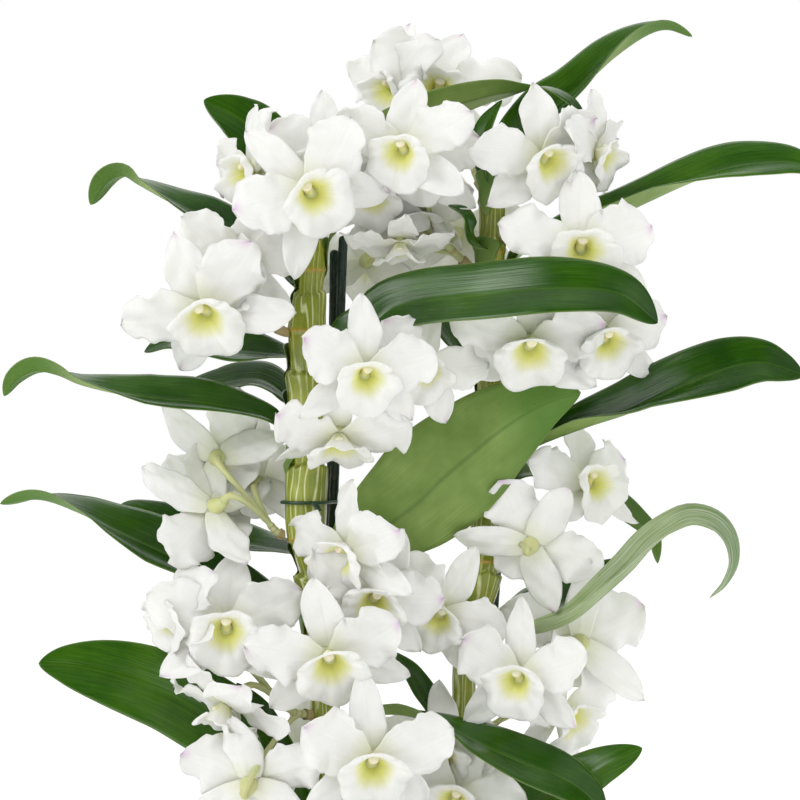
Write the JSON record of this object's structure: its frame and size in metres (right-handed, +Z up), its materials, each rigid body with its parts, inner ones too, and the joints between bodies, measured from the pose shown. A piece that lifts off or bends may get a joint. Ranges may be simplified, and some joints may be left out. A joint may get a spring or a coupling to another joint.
{
  "type": "potted dendrobium orchid",
  "caption": "Dendrobium orchid in bloom: leafy upright canes with white flower sprays at their nodes, tied to slim stakes in a plain round pot filled with bark.",
  "frame": {"origin": "centre of the pot's flat underside", "axes": "+Z up along the pot's axis, +X to the viewer's right, -Y towards the front that the blooms face"},
  "size_m": [0.4276, 0.1625, 0.5675],
  "materials": {
    "cane": "olive-green fleshy stem, satin, with papery sheaths",
    "leaf": "dark green living leaf, glossy above, paler and matt below",
    "flower": "thin white petal, matt, with a yellow-green blotch in the lip",
    "stake": "dark green coating",
    "tie": "dark green plastic-coated wire",
    "pot": "plain dark nursery pot",
    "bark": "rough bark chips"
  },
  "bodies": {
    "root": {"pot": "pot", "bark": "bark", "cane_left": "cane", "cane_right": "cane", "stake_front": "stake", "stake_back": "stake", "stake_right": "stake", "tie_left": "tie", "tie_right": "tie", "leaf_left_01": "leaf", "leaf_left_02": "leaf", "leaf_left_03": "leaf", "leaf_left_04": "leaf", "leaf_left_05": "leaf", "leaf_left_06": "leaf", "leaf_left_07": "leaf", "leaf_left_08": "leaf", "leaf_left_09": "leaf", "leaf_left_10": "leaf", "leaf_left_11": "leaf", "leaf_left_12": "leaf", "leaf_left_13": "leaf", "leaf_right_01": "leaf", "leaf_right_02": "leaf", "leaf_right_03": "leaf", "leaf_right_04": "leaf", "leaf_right_05": "leaf", "leaf_right_06": "leaf", "leaf_right_07": "leaf", "leaf_right_08": "leaf", "leaf_right_09": "leaf", "leaf_right_10": "leaf", "leaf_right_11": "leaf", "leaf_right_12": "leaf", "spray_left_01": "flower", "spray_left_02": "flower", "spray_left_03": "flower", "spray_left_04": "flower", "spray_left_05": "flower", "spray_left_06": "flower", "spray_left_07": "flower", "spray_left_08": "flower", "spray_right_01": "flower", "spray_right_02": "flower", "spray_right_03": "flower", "spray_right_04": "flower", "spray_right_05": "flower", "spray_right_06": "flower", "spray_right_07": "flower", "spray_right_08": "flower", "spray_right_09": "flower"}
  },
  "joints": []
}
